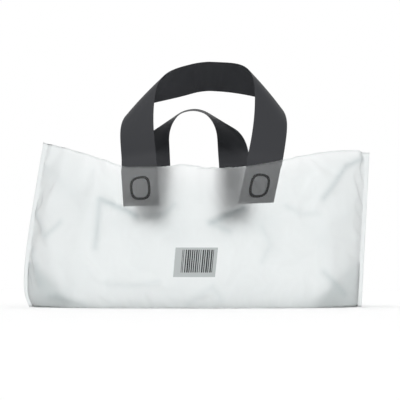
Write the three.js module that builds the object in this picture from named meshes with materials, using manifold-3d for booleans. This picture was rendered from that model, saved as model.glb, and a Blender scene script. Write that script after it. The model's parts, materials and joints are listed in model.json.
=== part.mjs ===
// A frosted film carrier bag with two soft loop handles, standing open on its gusseted base.
// Millimetres, +Z up, front panel towards -Y. The origin is the middle of the base, on the ground.
import * as THREE from "three";
import { mergeVertices } from "three/addons/utils/BufferGeometryUtils.js";
import Module from "manifold-3d";

// Film, and the stack of its layers in a welded side seam
const FILM = 0.09;
const SEAM_WIDTH = 4;
const SEAM_LAYER = 0.15;

// The bag as it stands
const BASE_WIDTH = 361;
const BASE_DEPTH = 98;
const BASE_FLAT = 236;
const GUSSET = 49;
const MOUTH_WIDTH = 368;
const MOUTH_DEPTH = 106;
const MOUTH_DIP = 34;
const DIP_MIDDLE = -0.29;
const MOUTH_SLIP = 12;
const MOUTH_TILT = 12;
const SEAM_HEIGHT = 177;
const SEAM_BOW = 9;
const BELLY = 25;

// How square each outline is from above, as the power of its curve, and the level share of the dip
const BASE_SQUARENESS = 4.2;
const MOUTH_SQUARENESS = 2.4;
const BELLY_SQUARENESS = 3.4;
const DIP_LEVEL = 0.25;

// Small wave of the mouth edge between the tabs, where it lies and reaches as shares of half the width
const WAVE = { at: -0.13, reach: 0.13, rise: 3 };

// Film eases out of its seams over these shares of half a panel's width: at the edges, and in between.
// It eases out of the base and the mouth over a share of the panel's height, and out of a tab in mm.
const SEAM_EASE = 0.04;
const SLACK_EASE = 0.11;
const EDGE_EASE = 0.12;
const LEAN_EASE = 0.05;
const TAB_EASE = 14;

// Handle strip, its welded tabs and the loop between them
const STRAP = 0.25;
const STRAP_WIDTH = 37;
const TAB_LENGTH = 44;

// Turn of the strip away from the film at the mouth edge, before its legs lean
const CLEARING = 5;

// Each loop of strip rises in two legs, folds softly towards the bag's middle along a slanted line at
// each shoulder, and bends over in a crown. How each handle stands: the distance between its tabs and
// how far their middle lies to the right, the left and right legs from the mouth edge to the fold, the
// splay of the left and right tabs from upright, the slope of their cut ends, the turn of the legs out
// of the tabs' plane, and the slope of the fold line across the strip, in millimetres and degrees.
const FRONT_HANDLE = {
  spacing: 122,
  middle: -5.5,
  legs: [72.4, 65.5],
  splay: [10.8, 11],
  cut: [1, -3],
  lean: { turn: [-16, -4.5], start: 15, radius: 35 },
  fold: { slant: [59.6, 54.7], radius: 25.8 },
  crownRadius: 24,
};
const REAR_HANDLE = {
  spacing: 101,
  middle: -13.7,
  legs: [54.4, 53.2],
  splay: [-3, -4.8],
  cut: [-4, -6],
  lean: { turn: [-80, -76], start: 9, radius: 14 },
  fold: { slant: [51.2, 48], radius: 13.6 },
  crownRadius: 38,
};

// Oblong weld between tab and film: its outline, the width of its line, how far below the mouth
// edge it starts, the room between film and tab and between film and weld, and the power of its curve
const WELD = { width: 21, height: 27, line: 2.6, below: 11, gap: 0.42, seat: 0.16, roundness: 0.7 };

// Label on the front panel: its middle is given across the panel and above the ground
const LABEL = { width: 41, height: 28.5, thickness: 0.1, gap: 0.2, across: 1, above: 45 };

// Folds that the slack film of a panel takes, each a ridge from one point to another.
// Points are across the panel from its middle, and above the ground.
const FOLD_SHARPNESS = 1.3;
const FOLDS = [
  { from: [-108, 112], to: [-70, 96], rise: 9, spread: 20 },
  { from: [-108, 112], to: [-116, 40], rise: 6, spread: 20 },
  { from: [2, 86], to: [44, 98], rise: 7, spread: 18 },
  { from: [174, 164], to: [126, 124], rise: 7, spread: 20 },
  { from: [128, 80], to: [142, 14], rise: 8, spread: 20 },
  { from: [-164, 110], to: [-140, 48], rise: 5, spread: 20 },
];

// Mesh steps
const FILM_COLUMNS = 42;
const PANEL_ROWS = 14;
const GUSSET_ROWS = 5;
const STRAP_COLUMNS = 10;
const STRAP_ROW = 3;
const WELD_STEPS = 32;
const LABEL_STEPS = 5;

const FRONT = -1;
const REAR = 1;

// In a seam, the gusset's two layers lie between the two panels: each layer's distance from the middle
const GUSSET_LAYER = SEAM_LAYER / 2;
const PANEL_LAYER = GUSSET_LAYER + SEAM_LAYER;

const run = (list, from, to) => (from < to ? list.slice(from, to + 1) : list.slice(to, from + 1).reverse());
const range = (count) => Array.from({ length: count }, (_, i) => i);
const mix = (a, b, t) => a + (b - a) * t;
const smooth = (x) => {
  const t = Math.min(1, Math.max(0, x));
  return t * t * (3 - 2 * t);
};

const radians = THREE.MathUtils.degToRad;
const atEnd = (pair, end) => pair[end < 0 ? 0 : 1];
const splayOf = (stance, end) => radians(atEnd(stance.splay, end));
const cutOf = (stance, end) => radians(atEnd(stance.cut, end));

// Places across the strip, from its middle
const stripWidths = range(STRAP_COLUMNS + 1).map((i) => STRAP_WIDTH * (i / STRAP_COLUMNS - 1 / 2));

// Collects faces by their corner points, where a shared corner is one and the same point.
class Surface {
  points = new Map();
  index = [];

  triangle(...corners) {
    for (const p of corners) {
      if (!this.points.has(p)) this.points.set(p, this.points.size);
      this.index.push(this.points.get(p));
    }
  }

  quad(a, b, c, d) {
    this.triangle(a, b, c);
    this.triangle(a, c, d);
  }

  // Fills between two lines of points that both run downwards, always with the shortest step down. Seen
  // along X, it faces the way that facing points.
  zip(left, right, facing) {
    let [i, j] = [0, 0];
    while (i + 1 < left.length || j + 1 < right.length) {
      const onLeft = j + 1 === right.length || (i + 1 < left.length && left[i + 1].z > right[j + 1].z);
      const [a, b, c] = [left[i], right[j], onLeft ? left[++i] : right[++j]];
      if (a === b || b === c || c === a) continue;
      const normal = b.clone().sub(a).cross(c.clone().sub(a));
      if (normal.x * facing > 0) this.triangle(a, b, c);
      else this.triangle(a, c, b);
    }
  }

  geometry() {
    const positions = [...this.points.keys()].flatMap((p) => p.toArray());
    const geometry = new THREE.BufferGeometry();
    geometry.setAttribute("position", new THREE.Float32BufferAttribute(positions, 3));
    geometry.setIndex(this.index);
    return geometry;
  }
}

// The two faces of a sheet: a grid of points moved half a thickness out and half a thickness in.
// Near an edge named in stiff, that many columns share one direction across the grid.
function sheetFaces(grid, thickness, stiff = 0) {
  const last = grid.length - 1;
  const rows = grid[0].length;
  const normal = (i, j) => {
    const before = i >= last - stiff ? last - stiff : Math.max(0, i <= stiff ? 0 : i - 1);
    const after = i <= stiff ? Math.max(1, stiff) : Math.min(last, i >= last - stiff ? last : i + 1);
    const across = grid[after][j].clone().sub(grid[Math.min(before, after - 1)][j]);
    const along = grid[i][Math.min(rows - 1, j + 1)].clone().sub(grid[i][Math.max(0, j - 1)]);
    return along.cross(across).normalize();
  };
  const face = (offset) =>
    grid.map((column, i) => column.map((p, j) => p.clone().addScaledVector(normal(i, j), offset)));
  return [face(thickness / 2), face(-thickness / 2)];
}

// Both faces of a sheet between two of its columns, and its two end edges there.
function addSheet(surface, [outer, inner], first, last) {
  const rows = outer[0].length;
  for (let i = first; i < last; i++) {
    for (let j = 0; j + 1 < rows; j++) {
      surface.quad(outer[i][j], outer[i][j + 1], outer[i + 1][j + 1], outer[i + 1][j]);
      surface.quad(inner[i][j], inner[i + 1][j], inner[i + 1][j + 1], inner[i][j + 1]);
    }
    const end = rows - 1;
    surface.quad(outer[i][0], outer[i + 1][0], inner[i + 1][0], inner[i][0]);
    surface.quad(outer[i + 1][end], outer[i][end], inner[i][end], inner[i + 1][end]);
  }
}

// A free sheet, closed along all four edges.
function thickSheet(grid, thickness) {
  const [outer, inner] = sheetFaces(grid, thickness);
  const surface = new Surface();
  const last = grid.length - 1;
  addSheet(surface, [outer, inner], 0, last);
  for (let j = 0; j + 1 < grid[0].length; j++) {
    surface.quad(outer[0][j + 1], outer[0][j], inner[0][j], inner[0][j + 1]);
    surface.quad(outer[last][j], outer[last][j + 1], inner[last][j + 1], inner[last][j]);
  }
  return surface.geometry();
}

// Height of a fold at a point of its panel.
function foldHeight(fold, across, up) {
  const start = new THREE.Vector2(...fold.from);
  const along = new THREE.Vector2(...fold.to).sub(start);
  const point = new THREE.Vector2(across, up).sub(start);
  const share = Math.min(1, Math.max(0, point.dot(along) / along.lengthSq()));
  const distance = point.sub(along.multiplyScalar(share)).length();
  return fold.rise * Math.max(0, 1 - distance / fold.spread) ** FOLD_SHARPNESS;
}

// 1 where a welded tab keeps the film flat, falling to 0 a little way out from the tab.
function tabHold(side, across, below) {
  const { spacing, middle } = side === FRONT ? FRONT_HANDLE : REAR_HANDLE;
  const beside = Math.abs(Math.abs(across - middle) - spacing / 2) - STRAP_WIDTH / 2;
  return (1 - smooth(beside / TAB_EASE)) * (1 - smooth((below - TAB_LENGTH) / TAB_EASE));
}

// Share of the way from the base's outline to the mouth's: none up to the tabs, then an even lean.
function leanIn(t) {
  const start = 1 - TAB_LENGTH / (SEAM_HEIGHT - MOUTH_DIP) - 2 * LEAN_EASE;
  const past = (x) => (x + Math.hypot(x, LEAN_EASE)) / 2;
  return past(t - start) / past(1 - start);
}

// Across the bag, a runs from -1 at the left seam to 1 at the right one. Up a panel, t runs from 0
// at the ground to 1 at the mouth edge. Out along the base, q runs from 0 in the middle to 1.
const halfWidth = (t) => mix(BASE_WIDTH, MOUTH_WIDTH, t) / 2;
const seamShare = SEAM_WIDTH / halfWidth(0);
const seamFree = (a, reach) => smooth((1 - seamShare - Math.abs(a)) / reach);
const outline = (depth, power, a) => (depth / 2) * (1 - Math.abs(a) ** power) * seamFree(a, SEAM_EASE);
const baseOutline = (a) => outline(BASE_DEPTH, BASE_SQUARENESS, a);
const mouthOutline = (a) => outline(MOUTH_DEPTH, MOUTH_SQUARENESS, a);
const seamPoint = (a, t) => {
  const bow = SEAM_BOW * Math.sin(Math.PI * Math.sqrt(t));
  return a * halfWidth(t) + MOUTH_SLIP * t - (bow * (1 - a)) / 2;
};

// Height of the mouth edge. It dips between the seams, from the left one straight, from the right in a curve.
function mouthHeight(a) {
  const reach = Math.abs(a - DIP_MIDDLE) / (a < DIP_MIDDLE ? 1 + DIP_MIDDLE : 1 - DIP_MIDDLE);
  const share = Math.max(0, (reach - DIP_LEVEL) / (1 - DIP_LEVEL));
  const dip = MOUTH_DIP * (1 - (a < DIP_MIDDLE ? share : smooth(share)));
  const wave = WAVE.rise * smooth(1 - Math.abs(a - WAVE.at) / WAVE.reach);
  return SEAM_HEIGHT - (MOUTH_TILT / 2) * a - dip + wave;
}

// A point of the front or rear panel.
function panelPoint(side, a, t) {
  const up = t * mouthHeight(a);
  const across = a * halfWidth(t);
  const slack = FOLDS.reduce((sum, fold) => sum + foldHeight(fold, -side * across, up), 0);
  const inside = smooth(t / EDGE_EASE) * smooth((1 - t) / EDGE_EASE);
  const free = (1 - tabHold(side, across, mouthHeight(a) - up)) * inside;
  const belly = BELLY * Math.sin(Math.PI * t) * (1 - Math.abs(a) ** BELLY_SQUARENESS);
  const open = mix(baseOutline(a), mouthOutline(a), leanIn(t));
  const out = open + (belly + slack * free) * seamFree(a, SLACK_EASE) + PANEL_LAYER;
  return new THREE.Vector3(seamPoint(a, t), side * out, FILM / 2 + up);
}

// A point of the base, which lies flat in the middle and rises to the gusset's depth at each seam.
function basePoint(side, a, q) {
  const flatShare = BASE_FLAT / BASE_WIDTH;
  const up = (1 - q) * GUSSET * smooth((Math.abs(a) - flatShare) / (1 - flatShare));
  const layer = q === 1 ? (PANEL_LAYER + GUSSET_LAYER) / 2 : GUSSET_LAYER;
  const t = up / mouthHeight(a);
  return new THREE.Vector3(seamPoint(a, t), side * (baseOutline(a) * q + layer), FILM / 2 + up);
}

// The film as columns from the left seam to the right one. Each runs from the front mouth edge down
// the front panel, across the base and up the rear panel.
function filmColumns() {
  const inner = range(FILM_COLUMNS + 1).map((i) => mix(seamShare - 1, 1 - seamShare, i / FILM_COLUMNS));
  const half = (side, a) => [
    ...range(PANEL_ROWS).map((i) => panelPoint(side, a, 1 - i / PANEL_ROWS)),
    ...range(GUSSET_ROWS).map((i) => basePoint(side, a, 1 - i / GUSSET_ROWS)),
  ];
  const middle = (a) => {
    const p = basePoint(FRONT, a, 0);
    return p.setY(0);
  };
  return [-1, ...inner, 1].map((a) => [...half(FRONT, a), middle(a), ...half(REAR, a).reverse()]);
}

// A welded seam between the bag's last free column and its outer edge: all layers in one bar.
function addSeam(surface, [outer, inner], free, edge) {
  const facing = Math.sign(outer[free][0].x);
  const end = outer[0].length - 1;
  const middle = end / 2;
  const frontFold = PANEL_ROWS;
  const rearFold = end - PANEL_ROWS;
  const strip = (a, b, c, d) => (facing > 0 ? surface.quad(a, b, c, d) : surface.quad(a, d, c, b));
  for (const first of [0, rearFold])
    for (let j = first; j < first + PANEL_ROWS; j++)
      strip(outer[free][j], outer[free][j + 1], outer[edge][j + 1], outer[edge][j]);
  surface.zip(run(outer[edge], 0, frontFold), run(outer[edge], end, rearFold), facing);
  surface.zip(run(outer[free], middle, frontFold), run(outer[free], middle, rearFold), -facing);

  // Inside the bag, the seam's wall parts round the top of the gusset into a front leg and a rear leg.
  const wall = inner[free];
  const parting = wall.findIndex((p) => p.z < wall[middle].z) - 1;
  surface.zip([...run(wall, 0, parting), wall[middle]], run(wall, end, end - parting), -facing);
  surface.zip(run(wall, parting, frontFold), run(wall, middle, frontFold), -facing);
  surface.zip(run(wall, middle, rearFold), run(wall, end - parting, rearFold), -facing);
  strip(outer[free][frontFold], outer[free][rearFold], outer[edge][rearFold], outer[edge][frontFold]);
  strip(outer[free][end], inner[free][end], inner[free][0], outer[free][0]);
  strip(outer[free][end], outer[free][0], outer[edge][0], outer[edge][end]);
}

function bagGeometry() {
  const columns = filmColumns();
  const faces = sheetFaces(columns, FILM, 1);
  const last = columns.length - 1;
  const surface = new Surface();
  addSheet(surface, faces, 1, last - 1);
  addSeam(surface, faces, 1, 0);
  addSeam(surface, faces, last - 1, last);
  return surface.geometry();
}

// A point on a panel, given across and up, moved off the film's middle: outwards if offset is positive.
function offPanel(side, across, up, offset) {
  const step = 0.01;
  const a = across / halfWidth(1);
  const t = up / mouthHeight(a);
  const acrossFilm = panelPoint(side, a + step, t).sub(panelPoint(side, a - step, t));
  const upFilm = panelPoint(side, a, t + step).sub(panelPoint(side, a, t - step));
  const outward = acrossFilm.cross(upFilm).normalize().multiplyScalar(-side);
  return panelPoint(side, a, t).addScaledVector(outward, offset);
}

// Carries a point of the flat strip, along it and across it, around the soft folds that come before it.
function foldStrip(along, across, bends) {
  let p = new THREE.Vector3(along, across, 0);
  for (const bend of bends.toReversed()) {
    const [cos, sin] = [Math.cos(bend.slant), Math.sin(bend.slant)];
    const reach = (along - bend.at) * cos - across * sin;
    if (reach <= 0) continue;
    const turn = Math.sign(bend.turn) * Math.min(reach / bend.radius, Math.abs(bend.turn));
    const radius = Math.sign(bend.turn) * bend.radius;
    const line = (p.x - bend.at) * sin + p.y * cos;
    const past = (p.x - bend.at) * cos - p.y * sin - radius * turn;
    const out = (radius - p.z) * Math.sin(turn) + past * Math.cos(turn);
    const up = radius - (radius - p.z) * Math.cos(turn) + past * Math.sin(turn);
    p = new THREE.Vector3(bend.at + out * cos + line * sin, line * cos - out * sin, up);
  }
  return p;
}

// Half a loop, from the last row of a tab up to the crown. The turns of the fold and the crown are
// those that bring the strip level and square to the bag's middle. The splay eases out on the way.
function halfLoop(side, end, tab, stance) {
  const { lean, fold, crownRadius } = stance;
  const leg = atEnd(stance.legs, end);
  const slant = radians(atEnd(fold.slant, end));
  const leanTurn = radians(atEnd(lean.turn, end));
  const foldTurn = Math.acos(-1 / Math.tan(slant) ** 2);
  const crownTurn = Math.acos(1 / Math.tan(slant));
  const foldLength = (fold.radius * foldTurn) / Math.cos(slant);
  const foldAcross = fold.radius * Math.sin(slant) * (foldTurn - Math.sin(foldTurn));
  const crownAcross = crownRadius * Math.sin(crownTurn);
  const band = (stance.spacing / 2 - foldAcross - crownAcross) / Math.cos(crownTurn);
  const crownStart = leg + foldLength + band;
  const length = crownStart + crownRadius * crownTurn;
  const bends = [
    { at: 0, slant: 0, turn: radians(CLEARING), radius: lean.radius },
    { at: lean.start, slant: 0, turn: leanTurn, radius: lean.radius },
    { at: leg, slant, turn: foldTurn, radius: fold.radius },
    { at: crownStart, slant: 0, turn: crownTurn, radius: crownRadius },
  ];
  const [below, row] = tab.slice(-2);
  const middle = row[STRAP_COLUMNS / 2];
  const up = middle.clone().sub(below[STRAP_COLUMNS / 2]).normalize();
  const chord = row[STRAP_COLUMNS].clone().sub(row[0]);
  const inward = up.clone().cross(chord).normalize();
  if (inward.y * side > 0) inward.negate();
  const across = inward.clone().cross(up).multiplyScalar(Math.sign(chord.dot(inward.clone().cross(up))));
  const splay = splayOf(stance, end);
  const throughStrip = new THREE.Vector3(0, 0, 1);
  const stand = new THREE.Matrix4().makeBasis(up, across, inward);
  const steps = Math.round(length / STRAP_ROW);
  return range(steps).map((j) =>
    stripWidths.map((v) => {
      const share = (j + 1) / steps;
      const p = foldStrip(length * share, v, bends).applyAxisAngle(throughStrip, splay * smooth(share));
      return middle.clone().add(p.applyMatrix4(stand));
    }),
  );
}

// A point of a tab or its weld: v across the strip towards the bag's middle, and below the mouth edge.
function tabPoint(side, stance, end, v, below, offset) {
  const splay = splayOf(stance, end);
  const [cos, sin] = [Math.cos(splay), Math.sin(splay)];
  const rise = TAB_LENGTH / 2 - below;
  const slope = mix(Math.tan(splay), Math.tan(cutOf(stance, end)), smooth(below / TAB_LENGTH));
  const middle = stance.middle + (end * stance.spacing) / 2;
  const across = middle + end * (rise * sin - v * cos);
  const height = mouthHeight(middle / halfWidth(1)) - TAB_LENGTH / 2 + rise * cos + v * cos * slope;
  const slip = (MOUTH_SLIP * (TAB_LENGTH / 2 - rise)) / SEAM_HEIGHT;
  return offPanel(side, across + slip, height, offset);
}

// A handle strip as rows along it: a tab welded inside the panel, the loop, and the other tab.
function strapRows(side, stance) {
  const inset = -(FILM / 2 + WELD.gap + STRAP / 2);
  const tabRows = Math.round(TAB_LENGTH / STRAP_ROW);
  const tab = (end) =>
    range(tabRows + 1).map((j) =>
      stripWidths.map((v) => tabPoint(side, stance, end, v, TAB_LENGTH * (1 - j / tabRows), inset)),
    );
  const [left, right] = [tab(-1), tab(1)];
  const leftLoop = halfLoop(side, -1, left, stance);
  const rightLoop = halfLoop(side, 1, right, stance);
  const miss = rightLoop.at(-1).map((p, i) => p.clone().sub(leftLoop.at(-1)[i]));
  const close = (loop, share) =>
    loop.forEach((row, j) =>
      row.forEach((p, i) => p.addScaledVector(miss[i], share * smooth((j + 1) / loop.length))),
    );
  close(leftLoop, 1 / 2);
  close(rightLoop, -1 / 2);
  return [...left, ...leftLoop, ...rightLoop.slice(0, -1).reverse(), ...right.reverse()];
}

// The oblong bead that welds a tab to its panel: a loop of square sections.
function weldBead(side, stance, end) {
  const faces = [WELD.seat, WELD.gap + STRAP / 2].map((depth) => -(FILM / 2 + depth));
  const oblong = (value) => Math.sign(value) * Math.abs(value) ** WELD.roundness;
  const corner = (turn, inset, face) => {
    const across = oblong(Math.cos(turn)) * (WELD.width / 2 - inset);
    const down = oblong(Math.sin(turn)) * (WELD.height / 2 - inset);
    return tabPoint(side, stance, end, across, WELD.below + WELD.height / 2 + down, face);
  };
  const sections = range(WELD_STEPS).map((k) => {
    const turn = (-side * end * 2 * Math.PI * k) / WELD_STEPS;
    const [near, far] = faces.map((face) => [corner(turn, 0, face), corner(turn, WELD.line, face)]);
    return [...near, ...far.reverse()];
  });
  const surface = new Surface();
  sections.forEach((here, k) => {
    const next = sections[(k + 1) % WELD_STEPS];
    for (const c of range(4)) surface.quad(here[c], next[c], next[(c + 1) % 4], here[(c + 1) % 4]);
  });
  return surface.geometry();
}

// The label as columns from left to right, lying on the front panel.
function labelColumns() {
  const offset = FILM / 2 + LABEL.gap + LABEL.thickness / 2;
  const shares = range(LABEL_STEPS + 1).map((i) => i / LABEL_STEPS - 0.5);
  return shares.map((u) => {
    const across = LABEL.across + u * LABEL.width;
    return shares.map((v) => offPanel(FRONT, across, LABEL.above - v * LABEL.height, offset));
  });
}

// Joins closed geometries into one solid, each with its points merged.
const MERGE = 1e-5;
const wasm = await Module();
wasm.setup();
function join(...geometries) {
  const solids = geometries.map((geometry) => {
    const merged = mergeVertices(geometry, MERGE);
    const vertProperties = new Float32Array(merged.attributes.position.array);
    const triVerts = new Uint32Array(merged.index.array);
    return new wasm.Manifold(new wasm.Mesh({ numProp: 3, vertProperties, triVerts }));
  });
  const mesh = solids.reduce((a, b) => a.add(b)).getMesh();
  const geometry = new THREE.BufferGeometry();
  geometry.setAttribute("position", new THREE.BufferAttribute(mesh.vertProperties, 3));
  geometry.setIndex(new THREE.BufferAttribute(mesh.triVerts, 1));
  return geometry;
}

const frosted = new THREE.MeshStandardMaterial({
  color: 0xdfe6e8,
  roughness: 0.45,
  transparent: true,
  opacity: 0.5,
});
const charcoal = new THREE.MeshStandardMaterial({ color: 0x35363a, roughness: 0.5 });
const paper = new THREE.MeshStandardMaterial({ color: 0xd9dcdc, roughness: 0.6 });

function part(name, geometry, material) {
  const mesh = new THREE.Mesh(geometry, material);
  mesh.name = name;
  return mesh;
}

function handle(side, stance) {
  const strip = thickSheet(strapRows(side, stance), STRAP);
  return join(strip, weldBead(side, stance, -1), weldBead(side, stance, 1));
}

const carrierBag = new THREE.Group();
carrierBag.add(
  part("bag_body", bagGeometry(), frosted),
  part("front_handle", handle(FRONT, FRONT_HANDLE), charcoal),
  part("rear_handle", handle(REAR, REAR_HANDLE), charcoal),
  part("label", thickSheet(labelColumns(), LABEL.thickness), paper),
);

export default carrierBag;
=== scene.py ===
# %% [markdown]
# # A frosted carrier bag with two soft loop handles
#
# The bag is one length of frosted polyethylene film. It is folded up from a gusset at the bottom and
# welded along both sides, and it stands open on that gusset. Two loops of flat charcoal strip are
# welded inside its mouth, each by an oblong weld on either end, and a small label sits on the front.
# The measured frame already gives every piece its size and place in metres. This lesson gives the
# pieces their looks: slack film that creases, strips that curve smoothly, and see-through plastic.

# %% Load the measured frame
import json
from math import radians

import bpy
import numpy as np
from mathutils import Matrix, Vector
from mathutils.bvhtree import BVHTree

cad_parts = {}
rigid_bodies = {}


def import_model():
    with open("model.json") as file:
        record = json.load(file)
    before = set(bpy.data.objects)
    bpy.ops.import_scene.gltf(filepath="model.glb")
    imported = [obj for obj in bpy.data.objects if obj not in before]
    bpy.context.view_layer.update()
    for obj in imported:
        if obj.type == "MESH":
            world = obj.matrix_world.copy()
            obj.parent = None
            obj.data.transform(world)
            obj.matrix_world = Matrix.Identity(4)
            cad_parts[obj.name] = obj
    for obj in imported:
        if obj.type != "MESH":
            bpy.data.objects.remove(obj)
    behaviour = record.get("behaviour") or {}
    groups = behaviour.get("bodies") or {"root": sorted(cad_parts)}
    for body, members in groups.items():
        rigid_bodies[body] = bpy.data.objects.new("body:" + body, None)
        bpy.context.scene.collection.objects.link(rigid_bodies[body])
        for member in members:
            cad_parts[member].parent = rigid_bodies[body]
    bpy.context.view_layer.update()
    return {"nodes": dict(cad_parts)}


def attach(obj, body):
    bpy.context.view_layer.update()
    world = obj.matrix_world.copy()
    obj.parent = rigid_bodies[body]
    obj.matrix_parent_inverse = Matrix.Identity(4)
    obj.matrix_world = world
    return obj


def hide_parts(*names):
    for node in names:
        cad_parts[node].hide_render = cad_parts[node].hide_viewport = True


MM = 0.001


def in_mm(lengths):
    """Lengths in millimetres, rounded for printing."""
    return [round(float(length) / MM, 1) for length in lengths]


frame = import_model()

# %% [markdown]
# ## Working on one piece at a time
#
# Blender's operators act on whatever is selected, and the frame arrives selected. So each helper here
# first makes one piece the only selected one. Faces are picked in code, by their place or their
# direction, with arrays of their middles and normals.

# %% Helpers for selecting and for modifiers
def make_active(piece):
    """Makes one piece the only one that operators act on."""
    bpy.ops.object.select_all(action="DESELECT")
    piece.select_set(True)
    bpy.context.view_layer.objects.active = piece


def read(items, what):
    """A three-part property of all faces or points, as an array."""
    values = np.empty(len(items) * 3, np.float32)
    items.foreach_get(what, values)
    return values.reshape(-1, 3)


def edit_faces(piece, chosen):
    """Opens edit mode with just the chosen faces selected."""
    make_active(piece)
    bpy.context.tool_settings.mesh_select_mode = (False, False, True)
    mesh = piece.data
    mesh.vertices.foreach_set("select", np.zeros(len(mesh.vertices), bool))
    mesh.edges.foreach_set("select", np.zeros(len(mesh.edges), bool))
    mesh.polygons.foreach_set("select", chosen)
    bpy.ops.object.mode_set(mode="EDIT")


def apply_modifier(piece, kind, **settings):
    """Adds a modifier, sets it up and applies it."""
    make_active(piece)
    modifier = piece.modifiers.new(kind.title(), kind)
    for key, value in settings.items():
        setattr(modifier, key, value)
    bpy.ops.object.modifier_apply(modifier=modifier.name)


def refine(piece, levels):
    """Smooths a piece by subdivision, keeping the corners of its edge."""
    apply_modifier(
        piece, "SUBSURF", levels=levels, render_levels=levels, boundary_smooth="PRESERVE_CORNERS"
    )


# %% [markdown]
# ## One skin of a thin solid
#
# Film and strip are solids in the frame, with an outer and an inner skin a fraction of a millimetre
# apart. Cloth tools want a single skin, so a copy of the solid loses everything but one side. The
# triangles then pair up into the grid of four-sided faces that subdivision smooths best.

# %% Copy a node and keep one of its skins
MERGE = 0.002 * MM
PAIR_BEND = radians(60)
PAIR_SKEW = radians(180)


def merged_copy(node, name):
    """A copy of a frame node under a name of its own, with its loose triangles merged."""
    piece = bpy.data.objects.new(name, frame["nodes"][node].data.copy())
    piece.data.name = name
    piece.data.materials.clear()
    bpy.context.collection.objects.link(piece)
    edit_faces(piece, np.ones(len(piece.data.polygons), bool))
    bpy.ops.mesh.remove_doubles(threshold=MERGE)
    bpy.ops.mesh.customdata_custom_splitnormals_clear()
    bpy.ops.object.mode_set(mode="OBJECT")
    return piece


def delete_faces(piece, chosen):
    """Deletes the chosen faces."""
    edit_faces(piece, chosen)
    bpy.ops.mesh.delete(type="FACE")
    bpy.ops.object.mode_set(mode="OBJECT")


def keep_skin(piece, seed, spread, **settings):
    """Keeps what a selection operator reaches from one seed face, and pairs its triangles."""
    edit_faces(piece, np.arange(len(piece.data.polygons)) == seed)
    spread(**settings)
    bpy.ops.mesh.select_all(action="INVERT")
    bpy.ops.mesh.delete(type="FACE")
    bpy.ops.mesh.select_all(action="SELECT")
    bpy.ops.mesh.tris_convert_to_quads(face_threshold=PAIR_BEND, shape_threshold=PAIR_SKEW)
    bpy.ops.object.mode_set(mode="OBJECT")
    print(piece.name, "skin:", len(piece.data.polygons), "faces")


# %% [markdown]
# ## The film
#
# The real bag is one sheet with a belly, a gusset and two flat welded seams. It could be drawn anew as a
# sheet, but the frame's bag already has these forms, so its outer skin is taken from there. Once the rim
# of the mouth is gone, nothing joins that skin to the inner one. The flat seams and the sharp folds keep
# their edges by a full crease, and the rest is smoothed by subdivision.

# %% Take the bag's outer skin
RIM_FROM = 135 * MM
RIM_UPWARD = 0.7
SEAM_FROM = 150 * MM
SEAM_HALF_DEPTH = 0.8 * MM
SHARP = radians(50)
FILM_LEVELS = 2


def in_seams(places):
    """Which places lie in the welded side seams."""
    return (np.abs(places[:, 1]) < SEAM_HALF_DEPTH) & (np.abs(places[:, 0]) > SEAM_FROM)


def keep_folds(piece, flats):
    """Gives a full crease to the edges round some flats and to sharp edges, so that they stay sharp."""
    edit_faces(piece, flats)
    bpy.ops.mesh.region_to_loop()
    bpy.ops.mesh.edges_select_sharp(sharpness=SHARP)
    bpy.ops.transform.edge_crease(value=1)
    bpy.ops.object.mode_set(mode="OBJECT")


film = merged_copy("bag_body", "film_bag")
upward = read(film.data.polygons, "normal")[:, 2] > RIM_UPWARD
delete_faces(film, upward & (read(film.data.polygons, "center")[:, 2] > RIM_FROM))
foremost = read(film.data.polygons, "center")[:, 1].argmin()
keep_skin(film, foremost, bpy.ops.mesh.select_linked)
seams = in_seams(read(film.data.polygons, "center"))
keep_folds(film, seams)
refine(film, FILM_LEVELS)
print("faces in the seams:", int(seams.sum()))

# %% [markdown]
# ## What holds the film
#
# The real film can't stir in its seams, where it stands on the floor, and where a tab or the label backs
# it. Single points could be pinned, but then the film would kink beside them. A vertex group of weights
# lets the hold fade out over some millimetres. Everywhere else the film is held weakly to its measured
# form, so that it keeps the belly and the broad folds.

# %% Hold the film where something stiff holds it
HELD_REACH = 1.5 * MM
HELD_EASE = 14 * MM
HELD_WEAKLY = 0.18


def distance_to(node, places):
    """How far each place lies from a frame node."""
    mesh = frame["nodes"][node].data
    tree = BVHTree.FromPolygons([v.co for v in mesh.vertices], [f.vertices for f in mesh.polygons])
    return np.array([tree.find_nearest(Vector(place))[3] for place in places])


def weigh(piece, name, weights):
    """Puts the points that have a weight into a new vertex group."""
    group = piece.vertex_groups.new(name=name)
    for index in np.flatnonzero(weights > 0):
        group.add([int(index)], float(weights[index]), "REPLACE")


points = read(film.data.vertices, "co")
stiff = np.min([distance_to(node, points) for node in ("front_handle", "rear_handle", "label")], axis=0)
held = np.maximum(HELD_WEAKLY, 1 - np.clip((stiff - HELD_REACH) / HELD_EASE, 0, 1))
held[points[:, 2] < HELD_REACH] = 1
held[in_seams(points)] = 1
weigh(film, "held", held)
print("film points:", len(points), "of which held:", int((held == 1).sum()))

# %% [markdown]
# ## Slack
#
# The real film is limp, yet it springs a little, so where it is slack it buckles into broad soft waves.
# Those could be sculpted one by one, but cloth finds them by itself when it has a little more length
# than it needs. So the film grows slightly as cloth. It feels no gravity, which would make it sag away
# from its measured form, and no point may end up farther from there than a few millimetres.

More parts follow.
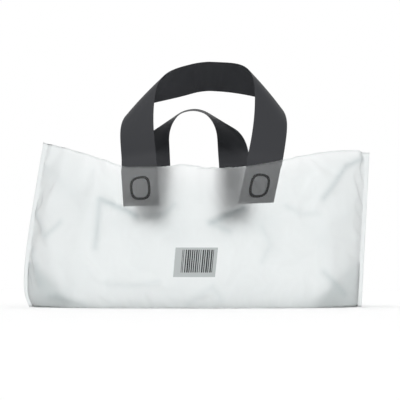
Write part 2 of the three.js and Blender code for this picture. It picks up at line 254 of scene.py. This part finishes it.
# %% Let the slack film buckle
SLACK = 0.012
SETTLE_FRAMES = 24
FARTHEST = 4 * MM
SPRINGY_FILM = {
    "quality": 6,
    "mass": 0.02,
    "air_damping": 2,
    "tension_stiffness": 60,
    "compression_stiffness": 60,
    "shear_stiffness": 30,
    "bending_stiffness": 25,
    "tension_damping": 10,
    "compression_damping": 10,
    "shrink_min": -SLACK,
    "vertex_group_mass": "held",
}
make_active(film)
cloth = film.modifiers.new("Slack film", "CLOTH")
for key, value in SPRINGY_FILM.items():
    setattr(cloth.settings, key, value)
cloth.settings.effector_weights.gravity = 0
cloth.collision_settings.use_collision = False
cloth.point_cache.frame_start = 1
cloth.point_cache.frame_end = SETTLE_FRAMES
for step in range(1, SETTLE_FRAMES + 1):
    bpy.context.scene.frame_set(step)
bpy.ops.object.modifier_apply(modifier=cloth.name)
moves = read(film.data.vertices, "co") - points
lengths = np.linalg.norm(moves, axis=1, keepdims=True)
moves *= np.minimum(1, FARTHEST / np.maximum(lengths, MERGE))
film.data.vertices.foreach_set("co", (points + moves).ravel())
print("cloth moved the film by", in_mm((lengths.mean(), lengths.max())), "mm, mean and most")

# %% [markdown]
# ## Sharp creases
#
# Where the film has once been folded over, it keeps a thin straight crest. On this bag the crests run
# from the ends of the tabs, round the upper corner, and along the foot of the front panel. They could be
# cut into the mesh as edges, but its grid runs another way. So each is a share of the full rise and a
# line of points on the panel, across and up in millimetres. The weight of a vertex group falls off on
# both sides of the line, and a Displace modifier lifts the film by that weight.

# %% Raise the creases
CREASE_RISE = 2.2 * MM
# Half the width of a crease, in millimetres as the points of the lines are.
CREASE_HALF = 7
CREASES = [
    (1.0, [(-95, 107), (-70, 97), (-58, 90)]),
    (0.8, [(-95, 107), (-98, 60)]),
    (0.7, [(-20, 102), (-30, 92), (-50, 92)]),
    (1.0, [(48, 98), (15, 83)]),
    (0.7, [(15, 83), (34, 75)]),
    (0.9, [(186, 163), (160, 148), (130, 110)]),
    (0.8, [(130, 36), (155, 14)]),
    (0.7, [(-174, 62), (-162, 24)]),
    (0.8, [(-178, 113), (-154, 72), (-138, 87)]),
    (0.6, [(-6, 5), (17, 22), (27, 9)]),
    (0.6, [(-87, 25), (-67, 22), (-37, 26)]),
    (0.6, [(-150, 12), (-112, 5)]),
    (0.6, [(66, 80), (74, 62), (66, 45)]),
    (0.6, [(90, 102), (105, 93), (124, 94)]),
]


def crease_weight(places, line):
    """How near each place lies to a crease: 1 on its crest, falling to 0 at its half width."""
    line = np.array(line, float)
    weight = np.zeros(len(places))
    for start, end in zip(line, line[1:]):
        along = np.clip((places - start) @ (end - start) / ((end - start) @ (end - start)), 0, 1)
        apart = np.linalg.norm(places - start - along[:, None] * (end - start), axis=1)
        weight = np.maximum(weight, 1 - apart / CREASE_HALF)
    return weight


# Seen from behind, the rear panel has the same creases as the front one has seen from the front.
side = np.where(points[:, 1] < 0, 1, -1)
panel_places = np.stack([points[:, 0] * side, points[:, 2]], axis=1) / MM
crests = np.max([share * crease_weight(panel_places, line) for share, line in CREASES], axis=0)
crests[held == 1] = 0
weigh(film, "crests", crests)
apply_modifier(film, "DISPLACE", strength=CREASE_RISE, mid_level=0, vertex_group="crests")
film.data.attributes.new("crest", "FLOAT", "POINT").data.foreach_set("value", crests.astype(np.float32))
print("creases:", len(CREASES), "on", int((crests > 0).sum()), "points")

# %% [markdown]
# ## The handle strips
#
# Each handle is one strip of thicker film, cut to length and left to bend by itself. It could be a
# curve with a flat section, but the frame's strip already folds where the real one does, in short flat
# steps. Its plain side, the one that faces away from the weld, is smoothed by subdivision and given the
# strip's thickness back.

# %% Smooth both strips
STRIP_THICKNESS = 0.25 * MM
STRIP_LEVELS = 1
TAB_INWARD = 0.5
SHADE_BELOW = radians(40)


def shade(piece):
    """Shades a piece smoothly, apart from its sharp edges."""
    make_active(piece)
    bpy.ops.object.shade_smooth_by_angle(angle=SHADE_BELOW)


def strip_piece(node, name, inward):
    """The strip of one handle; inward is the direction along Y that its tabs face inside the bag."""
    piece = merged_copy(node, name)
    middles = read(piece.data.polygons, "center")
    normals = read(piece.data.polygons, "normal")
    lowest_plain = np.where(normals[:, 1] * inward > TAB_INWARD, middles[:, 2], np.inf).argmin()
    keep_skin(piece, lowest_plain, bpy.ops.mesh.faces_select_linked_flat, sharpness=SHARP)
    refine(piece, STRIP_LEVELS)
    apply_modifier(piece, "SOLIDIFY", thickness=STRIP_THICKNESS, offset=-1)
    shade(piece)
    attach(piece, "root")
    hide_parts(node)
    print(name, len(piece.data.polygons), "faces")
    return piece


front_strip = strip_piece("front_handle", "front_handle_strip", 1)
rear_strip = strip_piece("rear_handle", "rear_handle_strip", -1)

# %% [markdown]
# ## The welds
#
# A heated tool presses an oblong line through film and strip, so that the two are one there. The ring
# could be drawn anew from a rounded plate, but the frame's weld bead already has its size, place and
# turn. So the bead's face against the film is kept, smoothed, pressed onto the film by a shrinkwrap, and
# given a thickness that comes through the film's outer face.

# %% Press the weld rings
NEAR_FILM = 0.25 * MM
WELD_LEVELS = 1
WELD_DEPTH = 0.6 * MM
# Solidify's offset runs from -1, all behind the surface, to 1, all in front of it.
WELD_PROUD = -0.4


def press_onto_film(piece):
    """Moves the points of a piece to the nearest places on the film."""
    apply_modifier(piece, "SHRINKWRAP", wrap_method="NEAREST_SURFACEPOINT", target=film)


def weld_piece(node, name):
    """Both weld rings of a handle, pressed into the film."""
    piece = merged_copy(node, name)
    near = distance_to("bag_body", read(piece.data.vertices, "co")) < NEAR_FILM
    away = np.array([not near[list(face.vertices)].all() for face in piece.data.polygons])
    delete_faces(piece, away)
    refine(piece, WELD_LEVELS)
    press_onto_film(piece)
    apply_modifier(piece, "SOLIDIFY", thickness=WELD_DEPTH, offset=WELD_PROUD)
    shade(piece)
    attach(piece, "root")
    print(name, len(piece.data.polygons), "faces,", in_mm(piece.dimensions), "mm")
    return piece


welds = [weld_piece("front_handle", "front_welds"), weld_piece("rear_handle", "rear_welds")]

# %% [markdown]
# ## The label
#
# A small printed label is stuck to the front panel. The frame's label could be kept, but a flat grid
# already carries a clean UV map for the print, so the label starts as one. Its points are spread between
# the four corners of the frame's label and pressed onto the film by a shrinkwrap.

# %% Stick the label to the film
LABEL_THICKNESS = 0.1 * MM
LABEL_LIFT = 0.06 * MM
LABEL_STEPS = (20, 14)
corners = read(frame["nodes"]["label"].data.vertices, "co")
corner = {(u, v): corners[(corners @ (2 * u - 1, 0, 2 * v - 1)).argmax()] for u in (0, 1) for v in (0, 1)}
bpy.ops.object.select_all(action="DESELECT")
bpy.ops.mesh.primitive_grid_add(x_subdivisions=LABEL_STEPS[0], y_subdivisions=LABEL_STEPS[1], size=1)
label = bpy.context.object
label.name = "printed_label"
label.data.name = label.name
across, up = (read(label.data.vertices, "co")[:, :2] + 0.5).T[:, :, None]
spread = sum(
    (across if u else 1 - across) * (up if v else 1 - up) * place for (u, v), place in corner.items()
)
label.data.vertices.foreach_set("co", spread.astype(np.float32).ravel())
press_onto_film(label)
# An offset of 1 puts the thickness in front of the film, and what is more lifts the label's back off it.
apply_modifier(label, "SOLIDIFY", thickness=LABEL_THICKNESS, offset=1 + 2 * LABEL_LIFT / LABEL_THICKNESS)
shade(label)
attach(label, "root")
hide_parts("label")
print("label:", in_mm(label.dimensions), "mm")

# %% [markdown]
# ## The film's thickness
#
# With everything pressed onto its single skin, the film gets its ninety micrometres. A Solidify modifier
# does that best at the end, because shrinkwraps and weights are simpler on one skin.

# %% Give the film its thickness
FILM_THICKNESS = 0.09 * MM
apply_modifier(film, "SOLIDIFY", thickness=FILM_THICKNESS, offset=0, use_even_offset=False)
make_active(film)
bpy.ops.object.shade_smooth()
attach(film, "root")
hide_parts("bag_body")
print("film:", len(film.data.polygons), "faces,", in_mm(film.dimensions), "mm")

# %% [markdown]
# ## Finishes
#
# Colours are written as sRGB hex, the way a colour picker shows them, and one function turns them to
# the linear values that shaders take. The strip's grain reads Object coordinates in metres, so its size
# in millimetres gives its scale. The film reads a weight of its own points, and the label its UV map.

# %% Colour and node helpers
def linear(colour):
    """An sRGB hex colour as the linear values that shaders take."""
    channels = [int(colour[i : i + 2], 16) / 255 for i in (1, 3, 5)]
    return [c / 12.92 if c <= 0.04045 else ((c + 0.055) / 1.055) ** 2.4 for c in channels] + [1.0]


def add_node(tree, kind, inputs=None, **settings):
    """Adds a node with its settings; an input is a value, or an output of another node to link."""
    node = tree.nodes.new(kind)
    for key, value in settings.items():
        setattr(node, key, value)
    for key, value in (inputs or {}).items():
        if isinstance(value, bpy.types.NodeSocket):
            tree.links.new(value, node.inputs[key])
        else:
            node.inputs[key].default_value = value
    return node


def new_finish(name, pieces, **values):
    """A new material on some pieces, with plain values for its shader: its node tree and the shader."""
    material = bpy.data.materials.new(name)
    material.use_nodes = True
    for piece in pieces:
        piece.data.materials.clear()
        piece.data.materials.append(material)
    shader = material.node_tree.nodes["Principled BSDF"]
    for key, value in values.items():
        shader.inputs[key.replace("_", " ")].default_value = value
    print(name, "on", [piece.name for piece in pieces])
    return material.node_tree, shader


# %% [markdown]
# ### Frosted polyethylene film
#
# Low-density polyethylene, blown with a matt face: milky, with light passing through it blurred. What
# touches it shows as a clear grey shape, and what lies further back melts away. It could be a mix of a
# translucent and a transparent shader, but rough transmission gives that blur by itself. On the crest of
# a crease the film's colour is painted a darker grey as shade, by the crest weights of its points.

# %% Film finish
FILM_COLOUR = "#fafcfc"
# Painted shade: the crests of the creases are darkened towards this grey, the more the nearer the crest.
CREASE_SHADE_COLOUR = "#d4dbdc"
CREASE_SHADE_POWER = 2
# Polyethylene has an IOR of about 1.51. A rough face blurs and mirrors more the higher it is, so it is
# lowered here until what touches the film shows through as it does on the real one.
FILM_IOR = 1.25
tree, shader = new_finish(
    "frosted_polyethylene", [film], Roughness=0.42, IOR=FILM_IOR, Transmission_Weight=0.94
)
# The crest weights paint the crease shade into the film's colour.
crest = add_node(tree, "ShaderNodeAttribute", attribute_name="crest").outputs["Fac"]
crease_shade = add_node(tree, "ShaderNodeMath", {0: crest, 1: CREASE_SHADE_POWER}, operation="POWER").outputs[0]
colours = {"Fac": crease_shade, "Color1": linear(FILM_COLOUR), "Color2": linear(CREASE_SHADE_COLOUR)}
film_and_crease_shade = add_node(tree, "ShaderNodeMixRGB", colours).outputs["Color"]
tree.links.new(film_and_crease_shade, shader.inputs["Base Color"])

# %% [markdown]
# ### Charcoal strip and its welds
#
# The strip is polyethylene dyed through, with a satin face that has hardly any gloss. A fine noise in its
# bump breaks up the little gloss there is. Where the tool has melted the strip, it is darker and shinier.

# %% Strip and weld finishes
# The real grain is some tenths of a millimetre wide, so it is drawn coarser to show.
GRAIN = 1.2 * MM
GRAIN_DEPTH = 0.05 * MM
GRAIN_STRENGTH = 0.3
GRAIN_DETAIL = 2
tree, shader = new_finish(
    "charcoal_polyethylene",
    [front_strip, rear_strip],
    Base_Color=linear("#38393c"),
    Roughness=0.5,
    Specular_IOR_Level=0.08,
)
where = add_node(tree, "ShaderNodeTexCoord").outputs["Object"]
grain = add_node(tree, "ShaderNodeTexNoise", {"Vector": where, "Scale": 1 / GRAIN, "Detail": GRAIN_DETAIL})
relief = {"Height": grain.outputs["Fac"], "Strength": GRAIN_STRENGTH, "Distance": GRAIN_DEPTH}
bump = add_node(tree, "ShaderNodeBump", relief)
tree.links.new(bump.outputs["Normal"], shader.inputs["Normal"])
new_finish(
    "melted_polyethylene", welds, Base_Color=linear("#141516"), Roughness=0.4, Specular_IOR_Level=0.25
)

# %% [markdown]
# ### Printed label
#
# A matt coated label with a plain block of dark bars. They could be small raised strips, but print has no
# height, so they are drawn in the material, on the label's UV map. The bars stand at an even pitch and
# take their widths by chance, so they stand for a printed code without being one, and there are no digits.

# %% Label finish
LABEL_COLOUR = "#bfc4c4"
INK_COLOUR = "#2b2e30"
# The thinnest bars of a real code are a third of a millimetre wide, so these are drawn coarser to show.
BAR_PITCH = 2.2 * MM
# Widths are shares of the pitch, and the edges of the block of bars are shares of the label's sides.
BAR_WIDTHS = {"To Min": 0.3, "To Max": 0.75}
BLOCK_EDGES = [
    ("GREATER_THAN", "X", 0.17),
    ("LESS_THAN", "X", 0.93),
    ("GREATER_THAN", "Y", 0.16),
    ("LESS_THAN", "Y", 0.93),
]
tree, shader = new_finish("coated_label", [label], Roughness=0.55)
place = add_node(tree, "ShaderNodeTexCoord").outputs["UV"]
place = add_node(tree, "ShaderNodeSeparateXYZ", {"Vector": place}).outputs
count = round(label.dimensions.x / BAR_PITCH)
pitches = add_node(tree, "ShaderNodeMath", {0: place["X"], 1: count}, operation="MULTIPLY").outputs[0]
number = add_node(tree, "ShaderNodeMath", {0: pitches}, operation="FLOOR").outputs[0]
along = add_node(tree, "ShaderNodeMath", {0: pitches}, operation="FRACT").outputs[0]
chance = add_node(tree, "ShaderNodeTexWhiteNoise", {"W": number}, noise_dimensions="1D").outputs["Value"]
width = add_node(tree, "ShaderNodeMapRange", {"Value": chance, **BAR_WIDTHS}).outputs["Result"]
dark = add_node(tree, "ShaderNodeMath", {0: along, 1: width}, operation="LESS_THAN").outputs[0]
for operation, axis, edge in BLOCK_EDGES:
    inside = add_node(tree, "ShaderNodeMath", {0: place[axis], 1: edge}, operation=operation).outputs[0]
    dark = add_node(tree, "ShaderNodeMath", {0: dark, 1: inside}, operation="MULTIPLY").outputs[0]
colours = {"Fac": dark, "Color1": linear(LABEL_COLOUR), "Color2": linear(INK_COLOUR)}
ink = add_node(tree, "ShaderNodeMixRGB", colours).outputs["Color"]
tree.links.new(ink, shader.inputs["Base Color"])
print("bar pitches across the label:", count)

# %% [markdown]
# ## Floor and light
#
# The bag stands on a plain white floor under broad soft light. Camera, glossy and see-through rays all
# meet a white surround, so the film shows it too. The surround lights the bag a little less than it
# shows, and two wide suns give the folds their shade.

# %% Floor
FLOOR_SIZE = 12
FLOOR_DROP = 0.2 * MM
bpy.ops.object.select_all(action="DESELECT")
bpy.ops.mesh.primitive_plane_add(size=FLOOR_SIZE, location=(0, 0, -FLOOR_DROP))
floor = bpy.context.object
floor.name = "floor"
new_finish("white_floor", [floor], Base_Color=linear("#fcfcfc"), Roughness=0.9, Specular_IOR_Level=0)

# %% Surround
SURROUND_LIGHT = 0.7
SURROUND_SEEN = 1
world = bpy.data.worlds.new("studio")
bpy.context.scene.world = world
world.use_nodes = True
tree = world.node_tree
path = add_node(tree, "ShaderNodeLightPath").outputs
seen = path["Is Camera Ray"]
for kind in ("Is Glossy Ray", "Is Transmission Ray"):
    seen = add_node(tree, "ShaderNodeMath", {0: seen, 1: path[kind]}, operation="MAXIMUM").outputs[0]
strengths = {"Value": seen, "To Min": SURROUND_LIGHT, "To Max": SURROUND_SEEN}
strength = add_node(tree, "ShaderNodeMapRange", strengths).outputs["Result"]
background = tree.nodes["Background"]
background.inputs["Color"].default_value = linear("#ffffff")
tree.links.new(strength, background.inputs["Strength"])
print("surround lights by", SURROUND_LIGHT, "and shows as", SURROUND_SEEN)

# %% Lamps
def soft_sun(name, towards, degrees, power):
    """A sun that shines towards a direction, as wide as some degrees of the sky."""
    data = bpy.data.lights.new(name, "SUN")
    data.angle = radians(degrees)
    data.energy = power
    lamp = bpy.data.objects.new(name, data)
    bpy.context.collection.objects.link(lamp)
    lamp.rotation_euler = Vector(towards).to_track_quat("-Z", "Y").to_euler()
    print(name, "sun:", degrees, "degrees wide, power", power)


soft_sun("key", towards=(0.15, 0.25, -0.95), degrees=40, power=1)
soft_sun("fill", towards=(-0.7, 0.5, -0.6), degrees=90, power=0.2)

# %% [markdown]
# ## Camera
#
# The camera stands low in front of the bag, a little right of its middle, and looks up by a few degrees.
# Its place and lens were matched to the bag's corners and handles as they are seen. The lens could be
# given in millimetres, but its length in pixels of the square picture is what such a match measures.

# %% Camera
IMAGE = 400
FOCAL_PIXELS = 612
SENSOR = 36
CAMERA_AT = (5 * MM, -675 * MM, 18 * MM)
CAMERA_RISE = 8.37
NEAREST_SEEN = 10 * MM
camera = bpy.data.objects.new("camera", bpy.data.cameras.new("camera"))
bpy.context.collection.objects.link(camera)
camera.location = CAMERA_AT
camera.rotation_euler = (radians(90 + CAMERA_RISE), 0, 0)
camera.data.sensor_width = SENSOR
camera.data.lens = SENSOR * FOCAL_PIXELS / IMAGE
camera.data.clip_start = NEAREST_SEEN
bpy.context.scene.camera = camera
bpy.context.scene.view_settings.view_transform = "Standard"
print("camera at", in_mm(CAMERA_AT), "mm, lens", round(camera.data.lens, 1), "mm")
